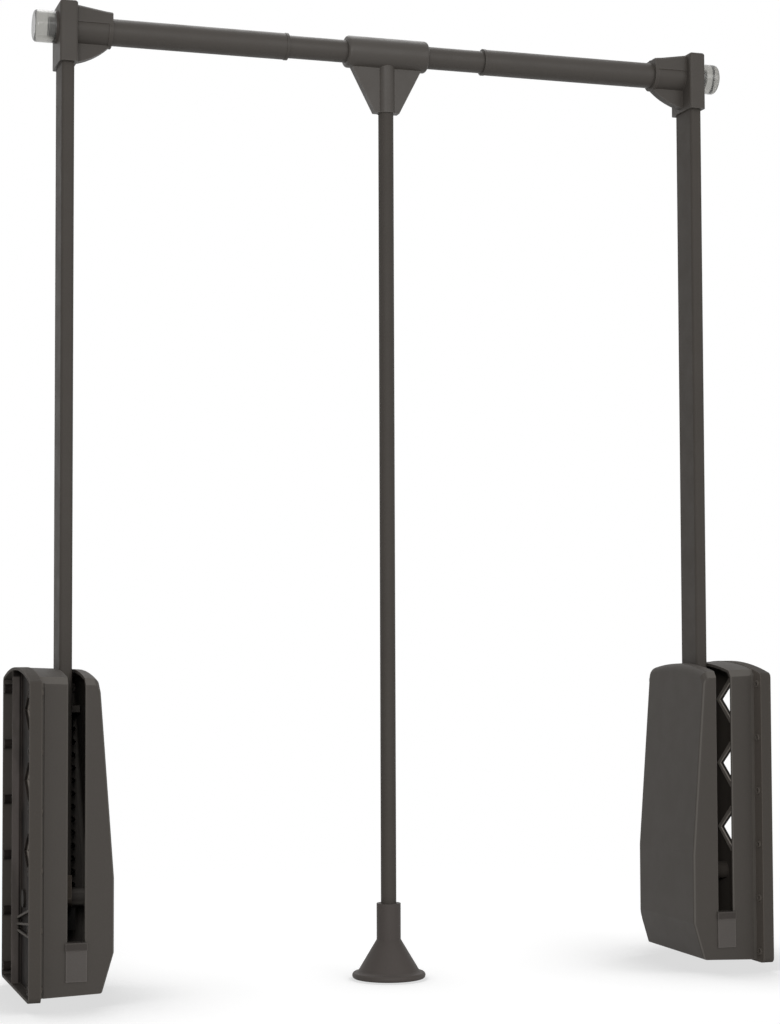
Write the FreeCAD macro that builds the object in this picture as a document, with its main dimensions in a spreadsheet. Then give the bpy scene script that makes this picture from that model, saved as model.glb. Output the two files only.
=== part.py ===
import FreeCAD, Part
import os
import re
import Sketcher

# Wardrobe lift (pull down closet rod): two spring housings for the cabinet's side walls, two
# swinging arms, a telescopic hanging rail between them and a pull rod that hangs from the rail.
#
# Frame of the whole object: X across the cabinet, Y towards the cabinet's back, Z up. The origin
# is the middle of the object's footprint, level with the lowest point of the pull handle.
# Frame of a side's pieces: x is the distance from the cabinet's wall, y and z as above, with z
# counted from the bottom of the wall base. Left pieces are modelled, right ones are their mirror.

V = FreeCAD.Vector

SIZES = [
    # overall
    ("half_width", 342.5, "middle of the object to the face on the cabinet's wall"),
    ("housing_z", 6.7, "bottom of the wall bases above the handle's rim"),
    ("fit_gap", 0.08, "radial clearance of a running fit"),
    ("slide_gap", 0.5, "clearance of loose sliding faces"),
    # wall base
    ("base_depth", 158.0, "wall base, front to back"),
    ("base_thick", 10.4, "wall base, off the wall"),
    ("base_floor", 2.5, "floor of the base"),
    ("base_rim", 2.4, "rim of the base"),
    ("base_round", 5.0, "corner radius of the base"),
    ("apex_y", 0.0, "highest point of the arched top, from the middle of the depth"),
    ("apex_z", 276.4, "height of the arched top at the wall"),
    ("arch_radius", 290.0, "radius of the arched top"),
    ("arch_fall", 2.4, "degrees that the arched top falls towards the inside"),
    ("screw_in", 6.6, "wall screw rows, in from the front and rear edges"),
    ("screw_first", 10.0, "lowest wall screw above the base's bottom"),
    ("screw_pitch", 49.2, "wall screw pitch"),
    ("screw_hole_radius", 2.2, "wall screw hole"),
    ("screw_boss_radius", 4.0, "boss round a wall screw hole"),
    ("pip_radius", 3.3, "raised ring round a wall screw hole on the flange"),
    ("pip_rise", 1.5, "height of that ring"),
    ("window_y", -24.0, "middle of the base's windows"),
    ("window_first", 118.2, "height of the lowest window's middle"),
    ("window_pitch", 60.6, "window pitch"),
    ("window_reach", 27.5, "window, middle to its pointed end"),
    ("window_rise", 16.8, "window, middle to its top"),
    ("window_flat", 5.0, "window, half of its flat top"),
    ("window_lip", 4.5, "lip round a window"),
    ("lip_height", 1.5, "height of that lip inside the housing"),
    ("guide_low", 48.0, "lower end of the yoke's guide rails"),
    ("guide_high", 126.0, "upper end of the yoke's guide rails"),
    ("guide_thick", 2.4, "thickness of the guide rails"),
    ("shoe_half", 8.5, "half of the width of the yoke's shoe between the rails"),
    ("rib_thick", 1.8, "ribs on the wall side"),
    ("rib_y", 18.8, "front face of the upright rib, behind the middle"),
    ("fan_inner", 58.0, "fan of ribs below the pivot, start"),
    ("fan_outer", 132.0, "end of that fan"),
    ("fan_y", 75.0, "point that the fan spreads from, behind the middle"),
    ("fan_z", 47.5, "height of that point"),
    ("fan_first", 1.6, "angle of the lowest of its ribs"),
    ("fan_step", 5.0, "angle between its ribs"),
    ("fan_low", 4.0, "these ribs stand this far back from the wall"),
    # cover
    ("cover_front", 66.2, "cover's front face ahead of the middle"),
    ("cover_rear", 58.4, "cover's rear face behind the middle"),
    ("cover_low", 1.9, "cover's bottom above the base's"),
    ("cover_lift", 1.9, "rise of the cover's bottom towards the inside"),
    ("cover_foot", 64.0, "cover's reach at its bottom"),
    ("cover_full", 74.0, "cover's full reach"),
    ("cover_head", 60.7, "cover's reach at the height of the arch"),
    ("chamfer_z", 37.2, "height where the lower slope ends"),
    ("taper_z", 99.4, "height where the upper taper starts"),
    ("cover_wall", 2.5, "cover's wall"),
    ("cover_round", 3.0, "cover's edge radius"),
    ("cover_shoulder", 10.0, "radius of the cover's upper rear edge"),
    ("cover_bevel", 5.0, "bevel along the cover's upper front edge"),
    ("head_round", 7.0, "radius of the cover's upper inner edge"),
    ("strip_end", 14.4, "end of the recessed strip on the cover's front, from the wall"),
    ("strip_deep", 0.8, "depth of that strip"),
    ("slot_off", 41.7, "middle of the arm's slot from the wall"),
    ("slot_width", 14.8, "width of the slot"),
    ("slot_low", 44.3, "bottom of the slot"),
    ("slot_bevel", 0.9, "bevel along the slot's edges"),
    ("post_radius", 4.0, "screw post in the cover"),
    ("post_inset", 3.7, "screw posts, in from the cover's inner faces"),
    ("post_high", 257.0, "height of the upper screw posts"),
    ("screw_grip", 10.0, "length of a housing screw in its post"),
    ("pad_proud", 1.2, "rest pad, ahead of the cover's front face"),
    ("pad_low", 14.5, "bottom of the rest pad"),
    ("pad_thick", 2.6, "rest pad's tongue above the slot's bottom"),
    ("pad_tongue", 8.0, "rest pad's reach into the slot"),
    ("short_post", 30.0, "reach of the upper front post, which ends beside the slot"),
    # arm and pivot
    ("arm_off", 40.2, "middle of the arm from the wall"),
    ("arm_y", -1.5, "middle of the arm, behind the middle of the depth"),
    ("arm_width", 11.3, "arm section across"),
    ("arm_depth", 35.0, "arm section front to back"),
    ("arm_wall", 1.5, "arm tube's wall"),
    ("arm_round", 3.2, "arm section's corner radius"),
    ("arm_low", 98.0, "lower end of the arm tube"),
    ("pivot_z", 77.8, "height of the pivot"),
    ("pin_radius", 5.0, "pivot pin"),
    ("pin_reach", 64.0, "end of the pivot pin from the wall"),
    ("pin_head", 7.6, "radius of the pivot pin's head"),
    ("bush_wall", 1.5, "wall of the pivot bush"),
    ("hub_half", 6.0, "half of the hub's width"),
    ("hub_radius", 15.0, "hub's round end"),
    ("boss_radius", 8.0, "pivot bosses of the base and the cover"),
    ("plug_length", 60.0, "hub's tongue inside the arm tube"),
    ("rivet_radius", 2.5, "rivets through arm and hub"),
    ("rivet_pitch", 24.0, "rivet pitch"),
    # crank, yoke, springs and damper
    ("swing_deg", 100.0, "how far the arm swings down"),
    ("crank_throw", 26.0, "pivot to crank pin"),
    ("crank_pin_radius", 4.0, "crank pin"),
    ("crank_ear", 7.0, "radius of the hub's ear round the crank pin"),
    ("cheek_thick", 7.0, "yoke cheeks"),
    ("yoke_gap", 1.3, "clearance of the crank pin in the yoke's slots, up and down"),
    ("yoke_wall", 2.6, "yoke metal past the end of its slot"),
    ("yoke_web", 4.8, "yoke metal below and above its slot"),
    ("yoke_block", 12.0, "height of the yoke's cross block"),
    ("spring_y", 40.0, "spring axes behind the middle"),
    ("spring_inner", 50.0, "spring on the cover's side, from the wall"),
    ("spring_outer", 22.0, "spring on the wall's side, from the wall"),
    ("spring_radius", 9.0, "spring's outside radius"),
    ("wire_radius", 1.1, "spring wire"),
    ("spring_turns", 15.0, "turns of the spring"),
    ("abutment_z", 236.0, "underside of the abutment that the springs press on"),
    ("abutment_thick", 6.0, "abutment plate"),
    ("flange_screw", 7.5, "abutment's screws, either side of the spring axes"),
    ("flange_rise", 10.0, "abutment's flange above its plate"),
    ("yoke_clear", 6.0, "yoke's cross block behind the arm"),
    ("damper_off", 36.0, "damper axis from the wall"),
    ("damper_y", 31.0, "damper axis behind the middle"),
    ("damper_radius", 7.0, "damper cylinder"),
    ("damper_bore", 5.0, "damper piston"),
    ("damper_rod_radius", 2.0, "damper rod"),
    ("damper_low", 128.0, "lower end of the damper cylinder"),
    ("piston_z", 154.0, "piston's underside at rest"),
    ("damper_gland", 5.0, "gland and end of the cylinder, and the piston's length"),
    ("stub_length", 30.0, "abutment's stubs inside the springs"),
    ("stop_thick", 4.0, "rubber stop behind the arm"),
    # corner bracket, bumper and rail
    ("rail_z", 838.7, "height of the rail's axis"),
    ("socket_wall", 2.3, "wall of the bracket's socket beside the arm"),
    ("socket_face", 4.5, "wall of the socket ahead of and behind the arm"),
    ("socket_drop", 33.3, "bottom of the bracket below the rail's axis"),
    ("socket_rise", 20.7, "top of the bracket above the rail's axis"),
    ("socket_cap", 10.0, "bracket above the arm's end"),
    ("socket_round", 2.6, "radius of the socket's upright edges"),
    ("socket_crown", 2.5, "radius of the socket's top edge towards the wall"),
    ("gusset_radius", 64.0, "radius of the web below the collar"),
    ("gusset_cut", 3.2, "end of that web above the bottom of the bracket"),
    ("gusset_half", 4.5, "half of that web's thickness"),
    ("bracket_screw", 13.0, "arm's screw below the rail's axis"),
    ("collar_radius", 14.0, "bracket's collar round the rail"),
    ("collar_end", 80.5, "end of the collar from the wall"),
    ("web_rise", 0.4, "upper web above the collar at its end"),
    ("web_flat", 7.5, "length of the upper web's level end"),
    ("web_step", 1.6, "upper web below the top of the socket"),
    ("web_front", 14.3, "front of the upper web ahead of the rail's axis"),
    ("web_rear", 14.0, "rear of the upper web behind the rail's axis"),
    ("web_low", 4.0, "underside of the upper web above the rail's axis"),
    ("web_bevel", 1.6, "bevel along the upper web's top"),
    ("bead_rise", 0.8, "bead at the collar's end, above the collar"),
    ("bead_width", 3.5, "width of that bead"),
    ("bumper_edge", 3.0, "radius of the bumper's end"),
    ("bumper_end", 12.0, "bumper's end from the wall"),
    ("bumper_radius", 14.1, "side bumper"),
    ("bumper_seat", 14.4, "radius of the bracket's seat for the bumper"),
    ("seat_thick", 2.0, "thickness of that seat"),
    ("bumper_rise", 0.9, "bumper's middle above the rail's axis"),
    ("bumper_boss", 8.7, "radius of the bracket's boss in the bumper"),
    ("boss_length", 5.8, "length of that boss"),
    ("boss_round", 2.6, "radius of its end"),
    ("rail_shift", 5.1, "middle of the rail, left of the object's middle"),
    ("tube_radius", 11.9, "outer tubes of the rail"),
    ("tube_wall", 0.9, "wall of the outer tubes"),
    ("tube_seat", 49.5, "inner end of the left outer tube from the wall"),
    ("tube_length", 191.0, "length of an outer tube"),
    ("inner_radius", 10.25, "inner tube of the rail"),
    ("inner_wall", 1.2, "wall of the inner tube"),
    ("inner_half", 215.0, "half of the inner tube's length"),
    ("mouth_radius", 12.3, "flange of the bush in an outer tube's mouth"),
    ("mouth_flange", 2.5, "thickness of that flange"),
    ("mouth_insert", 12.5, "length of that bush inside the tube"),
    ("plug_head", 6.0, "head of a tube plug"),
    ("plug_stub", 20.0, "stub of a tube plug in the inner tube"),
    # connector, pull rod and handle
    ("connector_round", 3.0, "radius of the sleeve's ends"),
    ("connector_radius", 14.6, "connector's sleeve"),
    ("connector_half", 39.2, "half of the sleeve's length"),
    ("fin_half", 4.2, "half of the connector's fin thickness"),
    ("fin_top", 33.0, "half of the fins' width below the sleeve"),
    ("fin_foot", 11.8, "half of the fins' width at their lower end"),
    ("fin_drop", 55.4, "lower end of the fins below the rail's axis"),
    ("stem_radius", 8.4, "connector's socket for the rod"),
    ("rod_radius", 7.0, "pull rod"),
    ("rod_wall", 1.2, "pull rod's wall"),
    ("rod_top", 18.0, "top of the rod below the rail's axis"),
    ("rod_foot", 30.0, "lower end of the rod above the handle's rim"),
    ("handle_collar", 10.95, "radius of the handle's collar"),
    ("handle_top", 66.8, "top of the handle"),
    ("handle_neck", 34.4, "height where the handle's cone starts"),
    ("handle_wall", 2.6, "handle's wall"),
    ("cone_foot", 27.4, "radius at the foot of the cone"),
    ("flare_z", 7.0, "height of the foot of the cone"),
    ("flare_radius", 4.9, "hollow flare between the cone and the lip"),
    ("lip_radius", 33.2, "radius of the handle's lip"),
    ("lip_thick", 5.0, "thickness of the lip"),
    ("lip_edge", 3.0, "radius of the lip's rounded edge"),
    ("cap_radius", 27.6, "cap under the handle"),
    ("cap_thick", 2.2, "thickness of that cap"),
    ("small_pin_radius", 1.5, "pins of the rod"),
    ("screw_radius", 1.5, "housing screws"),
    ("screw_seat", 0.6, "depth of a screw head's seat"),
    ("pin_inset", 12.0, "rod's pins from the ends of the connector and the handle's collar"),
    ("screw_head", 3.4, "radius of a screw head"),
    ("head_thick", 1.8, "thickness of a screw head"),
]
SIDES = ("left", "right")
WALL_SCREWS = 6
WINDOWS = 3
FAN_RIBS = 3

doc = FreeCAD.newDocument("WardrobeLift")
sheet = doc.addObject("Spreadsheet::Sheet", "Sizes")
for row, (alias, size, meaning) in enumerate(SIZES, start=1):
    sheet.set(f"A{row}", alias)
    sheet.set(f"B{row}", str(size))
    sheet.set(f"C{row}", meaning)
    sheet.setAlias(f"B{row}", alias)
doc.recompute()
ALIASES = {alias for alias, size, meaning in SIZES}

nodes = {}


# ---- helpers -------------------------------------------------------------------------------

def bound(text):
    """An expression on the sheet's aliases, as another object's expression."""
    return re.sub(r"[a-z_]+", lambda m: f"Sizes.{m.group(0)}" if m.group(0) in ALIASES else m.group(0), text)


def value(text):
    """What such an expression gives, as a number."""
    return float(sheet.evalExpression(str(text)))


def bind(target, prop, text):
    target.setExpression(prop, bound(str(text)))


def arch(y, inset="0"):
    """Height of the arched top at the depth y, under an arc that is smaller by inset."""
    return f"(apex_z - arch_radius + sqrt((arch_radius - ({inset}))^2 - (({y}) - apex_y)^2))"


def taper(height, inset="0"):
    """Reach of the cover's upper, tapered part at this height."""
    slope = "(cover_full - cover_head) / (apex_z - taper_z)"
    return f"(cover_full - ({inset}) - (({height}) - taper_z) * {slope})"


def new_body(label, base=("-half_width", "0", "housing_z")):
    """An empty body whose frame is a side's frame unless base says otherwise."""
    body = doc.addObject("PartDesign::Body", "Body_" + label)
    body.Label = label
    for axis, text in zip("xyz", base):
        bind(body, f".Placement.Base.{axis}", text)
    return body


def attach(feature, body, plane, at=("0", "0", "0")):
    """Lays a feature on one of its body's origin planes, shifted along that plane's own axes."""
    support = next(p for p in body.Origin.OriginFeatures if p.Role == plane)
    feature.AttachmentSupport = (support, "")
    feature.MapMode = "FlatFace"
    for axis, text in zip("xyz", at):
        bind(feature, f"AttachmentOffset.Base.{axis}", text)


# Planes by the way their features grow, with what `at` counts on each.
ALONG_X = "YZ_Plane"    # (y, z, x)
ALONG_Z = "XY_Plane"    # (x, y, z)
TO_FRONT = "XZ_Plane"   # (x, z, -y), growing towards -Y


def rod(body, plane, at, radius, length, cut=False):
    """A round solid or hole."""
    kind = "SubtractiveCylinder" if cut else "AdditiveCylinder"
    piece = body.newObject("PartDesign::" + kind, "Round")
    attach(piece, body, plane, at)
    bind(piece, "Radius", radius)
    bind(piece, "Height", length)
    return piece


def block(body, low, high, cut=False):
    """A box between two corners, given as (x, y, z) in the body's frame."""
    kind = "SubtractiveBox" if cut else "AdditiveBox"
    piece = body.newObject("PartDesign::" + kind, "Block")
    attach(piece, body, ALONG_Z, low)
    for prop, a, b in zip(("Length", "Width", "Height"), low, high):
        bind(piece, prop, f"({b}) - ({a})")
    return piece


def outline(body, plane, points, offset="0", arcs=None):
    """A closed sketch through points (u, v). arcs gives edges, by the index of their first point,
    as (radius, u, v) with (u, v) any place the arc bulges towards."""
    sketch = body.newObject("Sketcher::SketchObject", "Outline")
    attach(sketch, body, plane, ("0", "0", offset))
    arcs = arcs or {}
    spots = [V(value(u), value(v), 0) for u, v in points]
    count = len(points)
    starts = []
    for i in range(count):
        a, b = spots[i], spots[(i + 1) % count]
        if i in arcs:
            radius, bulge_u, bulge_v = arcs[i]
            middle = (a + b) * 0.5
            half = (b - a).Length / 2
            side = V(a.y - b.y, b.x - a.x, 0).normalize()
            if side.dot(V(value(bulge_u), value(bulge_v), 0) - middle) < 0:
                side = side * -1
            size = value(radius)
            sagitta = size - max(size * size - half * half, 0) ** 0.5
            top = middle + side * sagitta
            # arcs of a sketch run anticlockwise
            forward = (top - a).cross(b - top).z > 0
            sketch.addGeometry(Part.Arc(a, top, b) if forward else Part.Arc(b, top, a))
            starts.append(1 if forward else 2)
        else:
            sketch.addGeometry(Part.LineSegment(a, b))
            starts.append(1)
    for i in range(count):
        j = (i + 1) % count
        sketch.addConstraint(Sketcher.Constraint("Coincident", i, 3 - starts[i], j, starts[j]))
    for i, (u, v) in enumerate(points):
        for axis, text, spot in (("X", u, spots[i].x), ("Y", v, spots[i].y)):
            index = sketch.addConstraint(
                Sketcher.Constraint("Distance" + axis, -1, 1, i, starts[i], spot))
            bind(sketch, f"Constraints[{index}]", text)
    for i, (radius, bulge_u, bulge_v) in arcs.items():
        index = sketch.addConstraint(Sketcher.Constraint("Radius", i, value(radius)))
        bind(sketch, f"Constraints[{index}]", radius)
    return sketch


def circles(body, plane, centres, radius, offset="0"):
    """A sketch of equal circles at (u, v)."""
    sketch = body.newObject("Sketcher::SketchObject", "Circles")
    attach(sketch, body, plane, ("0", "0", offset))
    for i, (u, v) in enumerate(centres):
        centre = V(value(u), value(v), 0)
        sketch.addGeometry(Part.Circle(centre, V(0, 0, 1), value(radius)))
        for axis, text, spot in (("X", u, centre.x), ("Y", v, centre.y)):
            index = sketch.addConstraint(Sketcher.Constraint("Distance" + axis, -1, 1, i, 3, spot))
            bind(sketch, f"Constraints[{index}]", text)
        index = sketch.addConstraint(Sketcher.Constraint("Radius", i, value(radius)))
        bind(sketch, f"Constraints[{index}]", radius)
    return sketch


def pad(body, sketch, length, midplane=False):
    feature = body.newObject("PartDesign::Pad", "Pad")
    feature.Profile = sketch
    feature.Midplane = midplane
    bind(feature, "Length", length)
    return feature


def pocket(body, sketch, length, midplane=False):
    """A cut from the sketch against its plane's normal, or both ways."""
    feature = body.newObject("PartDesign::Pocket", "Pocket")
    feature.Profile = sketch
    feature.Midplane = midplane
    bind(feature, "Length", length)
    return feature


def turned(body, sketch, axis="V_Axis"):
    feature = body.newObject("PartDesign::Revolution", "Turned")
    feature.Profile = sketch
    feature.ReferenceAxis = (sketch, [axis])
    feature.Angle = 360
    return feature


def rounded(body, size, pick, kind="Fillet"):
    """Rounds or bevels the edges that pick(edge, box) chooses, box being the edge's box in its body's frame."""
    doc.recompute()
    base = body.Tip
    names = [f"Edge{i}" for i, edge in enumerate(base.Shape.Edges, start=1) if pick(edge, edge.BoundBox)]
    feature = body.newObject("PartDesign::" + kind, "Edges")
    feature.Base = (base, names)
    bind(feature, "Radius" if kind == "Fillet" else "Size", size)
    return feature


def runs_along(box, axis):
    """Whether an edge with this box is a straight run along one axis."""
    spans = {"x": box.XLength, "y": box.YLength, "z": box.ZLength}
    return spans.pop(axis) > 0.5 and max(spans.values()) < 1e-4


def keep(label, piece):
    """Names a finished piece as a node."""
    piece.Label = label
    nodes[label] = piece
    return piece


def mirrored(label, source):
    """The right-hand copy of a left-hand piece."""
    copy = doc.addObject("Part::Mirroring", "Mirror_" + label)
    copy.Source = source
    copy.Normal = V(1, 0, 0)
    copy.Base = V(0, 0, 0)
    return keep(label, copy)


def both_sides(name, source):
    keep("left_" + name, source)
    mirrored("right_" + name, source)


def combined(kind, name, first, second):
    """A boolean of two objects: Part::Cut, Part::Fuse or Part::Common."""
    result = doc.addObject(kind, name)
    result.Base = first
    result.Tool = second
    result.Refine = True
    return result


def joined(name, pieces):
    """Several separate solids as one object."""
    group = doc.addObject("Part::Compound", name)
    group.Links = pieces
    return group


# ---- places that several pieces share --------------------------------------------------------

CRANK_Y = "(crank_throw * cos(swing_deg / 2 * 1deg))"
CRANK_RISE = "(crank_throw * sin(swing_deg / 2 * 1deg))"
CRANK_Z = f"(pivot_z - {CRANK_RISE})"
YOKE_SLOT = "(crank_pin_radius + yoke_gap)"
YOKE_TOP = f"({CRANK_Z} + {YOKE_SLOT} + yoke_web + yoke_block)"
HUB_LOW = "(arm_off - hub_half)"
HUB_HIGH = "(arm_off + hub_half)"
FLOOR_LOW = "(base_thick - base_floor)"
TUBE_BORE = "(tube_radius - tube_wall)"
YOKE_LEFT = "(spring_outer - spring_radius)"
YOKE_RIGHT = "(spring_inner + spring_radius)"
YOKE_FRONT = "(arm_y + arm_depth / 2 + yoke_clear)"
YOKE_REAR = "(spring_y + spring_radius + 1)"
RIVETS = [f"(arm_low + plug_length / 2 + {side} * rivet_pitch / 2)" for side in (-1, 1)]
SOCKET_LOW = "(rail_z - socket_drop)"
SOCKET_TOP = "(rail_z + socket_rise)"
SOCKET_HALF = "(arm_width / 2 + socket_wall)"
BUMPER_ROOT = f"(arm_off - {SOCKET_HALF} - seat_thick)"
SOCKET_FRONT = "(arm_y - arm_depth / 2 - socket_face)"
SOCKET_REAR = "(arm_y + arm_depth / 2 + socket_face)"
ARM_TOP = f"({SOCKET_TOP} - socket_cap)"
ARM_SCREW = "(rail_z - bracket_screw)"
BUMPER_Z = "(rail_z + bumper_rise)"
TUBE_SCREW = "((tube_seat + 2 * rail_shift + collar_end) / 2)"
# screws of the corner bracket: (x, z, the face that they enter, their depth below it)
BRACKET_SCREWS = [
    ("arm_off", ARM_SCREW, SOCKET_REAR, "(socket_face + arm_wall)"),
    (TUBE_SCREW, "rail_z", "(arm_y + collar_radius)", "(collar_radius - tube_radius + tube_wall)"),
]
PIN_HEIGHTS = ("(rail_z + housing_z - fin_drop + pin_inset)", "(handle_top - pin_inset)")
POSTS = [
    ("(post_inset + cover_wall - cover_front)", "(cover_low + cover_wall + post_inset)", "(cover_foot - cover_wall)"),
    ("(cover_rear - cover_wall - post_inset)", "(cover_low + cover_wall + post_inset)", "(cover_foot - cover_wall)"),
    ("(post_inset + cover_wall - cover_front)", "post_high", "short_post"),
    ("(cover_rear - cover_wall - post_inset)", "post_high", taper("post_high", "cover_wall / 2")),
]
ABUTMENT_SCREWS = [(f"(spring_y + {side} * flange_screw)", "(abutment_z + abutment_thick + flange_rise / 2)")
                   for side in (-1, 1)]


# ---- wall base -------------------------------------------------------------------------------

def arched_outline(body, inset, offset):
    """The wall base's side view, smaller all round by inset."""
    front = f"({inset}) - base_depth / 2"
    rear = f"base_depth / 2 - ({inset})"
    points = [(front, inset), (rear, inset), (rear, arch(rear, inset)), (front, arch(front, inset))]
    return outline(body, ALONG_X, points, offset, {2: (f"arch_radius - ({inset})", "apex_y", "apex_z + 50")})


def window_outline(body, number, grow, offset):
    """One six-sided window of the base, larger all round by grow."""
    middle = f"(window_first + {number} * window_pitch)"
    reach = f"(window_reach + 1.3 * ({grow}))"
    flat = f"(window_flat + 0.3 * ({grow}))"
    rise = f"(window_rise + ({grow}))"
    corners = [(f"-{reach}", "0"), (f"-{flat}", f"-{rise}"), (flat, f"-{rise}"),
               (reach, "0"), (flat, rise), (f"-{flat}", rise)]
    points = [(f"window_y + ({u})", f"{middle} + ({v})") for u, v in corners]
    return outline(body, ALONG_X, points, offset)


def wall_base():
    body = new_body("left_wall_base")
    pad(body, arched_outline(body, "0", "0"), "base_thick")
    rounded(body, "base_round", lambda edge, box: runs_along(box, "x"))
    # the hollow towards the wall, with its ribs
    pocket(body, arched_outline(body, "base_rim", FLOOR_LOW), FLOOR_LOW)
    block(body, ("0", "rib_y", "base_rim / 2"), (FLOOR_LOW, "rib_y + rib_thick", f"{arch('rib_y')} - base_rim"))
    for number in range(FAN_RIBS):
        turn = f"((fan_first + {number} * fan_step) * 1deg)"
        corners = [("fan_inner", -1), ("fan_outer", -1), ("fan_outer", 1), ("fan_inner", 1)]
        points = [(f"fan_y - ({r} * cos{turn} - {k} * rib_thick / 2 * sin{turn})",
                   f"fan_z + {r} * sin{turn} + {k} * rib_thick / 2 * cos{turn}") for r, k in corners]
        pad(body, outline(body, ALONG_X, points, "fan_low"), f"{FLOOR_LOW} - fan_low")
    # windows through the floor, each with a lip inside the housing
    for number in range(WINDOWS):
        pad(body, window_outline(body, number, "window_lip", FLOOR_LOW), "base_floor + lip_height")
    for number in range(WINDOWS):
        pocket(body, window_outline(body, number, "0", "base_thick + lip_height"), "base_thick + lip_height")
    # wall screw holes in bosses
    rows = [f"{side} * (base_depth / 2 - screw_in)" for side in (-1, 1)]
    centres = [(y, f"screw_first + {n} * screw_pitch") for y in rows for n in range(WALL_SCREWS)]
    pad(body, circles(body, ALONG_X, centres, "screw_boss_radius"), "base_thick")
    pad(body, circles(body, ALONG_X, centres, "pip_radius"), "base_thick + pip_rise")
    pocket(body, circles(body, ALONG_X, centres, "screw_hole_radius", "base_thick + pip_rise"), "base_thick + pip_rise")
    # pivot boss, with a seat for the pin's head
    rod(body, ALONG_X, ("arm_y", "pivot_z", "base_thick"), "boss_radius", f"{HUB_LOW} - slide_gap - base_thick")
    rod(body, ALONG_X, ("arm_y", "pivot_z", "0"), "pin_radius", "arm_off", cut=True)
    rod(body, ALONG_X, ("arm_y", "pivot_z", "0"), "pin_head", FLOOR_LOW, cut=True)
    # rails that guide the yoke's shoe
    for side in (-1, 1):
        inner = f"spring_y + {side} * (shoe_half + slide_gap)"
        outer = f"{inner} + {side} * guide_thick"
        low, high = (inner, outer) if side > 0 else (outer, inner)
        block(body, ("base_thick", low, "guide_low"), (f"{YOKE_LEFT} - slide_gap", high, "guide_high"))
    # holes for the screws of the cover and of the abutment
    holes = [(y, z) for y, z, reach in POSTS] + ABUTMENT_SCREWS
    pocket(body, circles(body, ALONG_X, holes, "screw_radius", "base_thick"), "base_thick")
    both_sides("wall_base", body)


# ---- cover -----------------------------------------------------------------------------------

def cover_form(label, inset, low, head):
    """The cover's outer form, smaller all round by inset, from low off the wall inwards."""
    body = new_body(label)
    crown = f"(apex_z + {head})"
    foot = f"(cover_low + ({inset}))"
    full = f"(cover_full - ({inset}))"
    points = [(low, foot), (f"cover_foot - ({inset})", f"{foot} + cover_lift"), (full, "chamfer_z"), (full, "taper_z"),
              (taper(crown, inset), crown), (low, crown)]
    front = f"(({inset}) - cover_front)"
    rear = f"(cover_rear - ({inset}))"
    pad(body, outline(body, TO_FRONT, points, f"-{rear}"), f"{rear} - {front}")
    # the arched top, cut along a line that falls towards the inside
    before, behind = f"({front} - 4)", f"({rear} + 4)"
    near, far = (f"({arch(y, inset)} * cos(arch_fall * 1deg) - {full} * sin(arch_fall * 1deg))" for y in (before, behind))
    above = f"({crown} + 5)"
    points = [(before, near), (before, above), (behind, above), (behind, far)]
    sketch = outline(body, ALONG_X, points, full, {3: (f"arch_radius - ({inset})", "apex_y", "apex_z + 50")})
    sketch.AttachmentOffset = FreeCAD.Placement(V(0, 0, 0), FreeCAD.Rotation(V(1, 0, 0), value("arch_fall")))
    bind(sketch, "AttachmentOffset.Rotation.Angle", "arch_fall")
    pocket(body, sketch, f"{full} + 30")
    top = value("apex_z - 20")
    slopes = lambda box: box.ZMin > top and box.YLength < 1e-4 and box.XLength > 20
    rounded(body, "cover_shoulder", lambda edge, box: slopes(box) and box.YMin > 0)
    rounded(body, "cover_bevel", lambda edge, box: slopes(box) and box.YMin < 0, "Chamfer")
    rim = value(low) + 0.1
    head = value("taper_z + 10")
    rounded(body, "head_round", lambda edge, box: box.XMin > rim and box.ZMin > head)
    rounded(body, "cover_round", lambda edge, box: box.XMin > rim and box.ZMin < head)
    return body


def cover():
    outer = cover_form("cover_form", "0", "base_thick", "6")
    cavity = cover_form("cover_hollow", "cover_wall", "base_thick - 1", "6")
    shell = combined("Part::Cut", "CoverShell", outer, cavity)
    inside = new_body("cover_posts")
    rod(inside, ALONG_X, ("arm_y", "pivot_z", f"{HUB_HIGH} + slide_gap"), "boss_radius",
        f"cover_full - cover_wall / 2 - {HUB_HIGH} - slide_gap")
    for y, z, reach in POSTS:
        rod(inside, ALONG_X, (y, z, "base_thick"), "post_radius", f"{reach} - base_thick")
    filled = combined("Part::Fuse", "CoverWithPosts", shell, inside)
    cuts = new_body("cover_cuts")
    slot_low = "(slot_off - slot_width / 2)"
    slot_high = "(slot_off + slot_width / 2)"
    block(cuts, ("0", "-cover_front - 5", "0"), ("strip_end", "-cover_front + strip_deep", "apex_z + 5"))
    wide = "(slot_bevel + 1)"
    points = [(f"{slot_low} - {wide}", "-cover_front - 1"), (f"{slot_high} + {wide}", "-cover_front - 1"),
              (slot_high, "slot_bevel - cover_front"), (slot_low, "slot_bevel - cover_front")]
    pad(cuts, outline(cuts, ALONG_Z, points, "slot_low"), "apex_z")
    block(cuts, (slot_low, "-cover_front - 5", "slot_low"), (slot_high, "-cover_front + cover_wall + 0.5", "apex_z + 5"))
    block(cuts, (slot_low, "-cover_front - 5", "apex_z - 20"), (slot_high, "arm_y + arm_depth / 2 + 1.5", "apex_z + 5"))
    rod(cuts, ALONG_X, ("arm_y", "pivot_z", "slot_off"), "pin_radius", "pin_reach - slot_off")
    for y, z, reach in POSTS:
        rod(cuts, ALONG_X, (y, z, "base_thick - 1"), "screw_radius", "screw_grip + 1")
    both_sides("cover", combined("Part::Cut", "Cover", filled, cuts))


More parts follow.
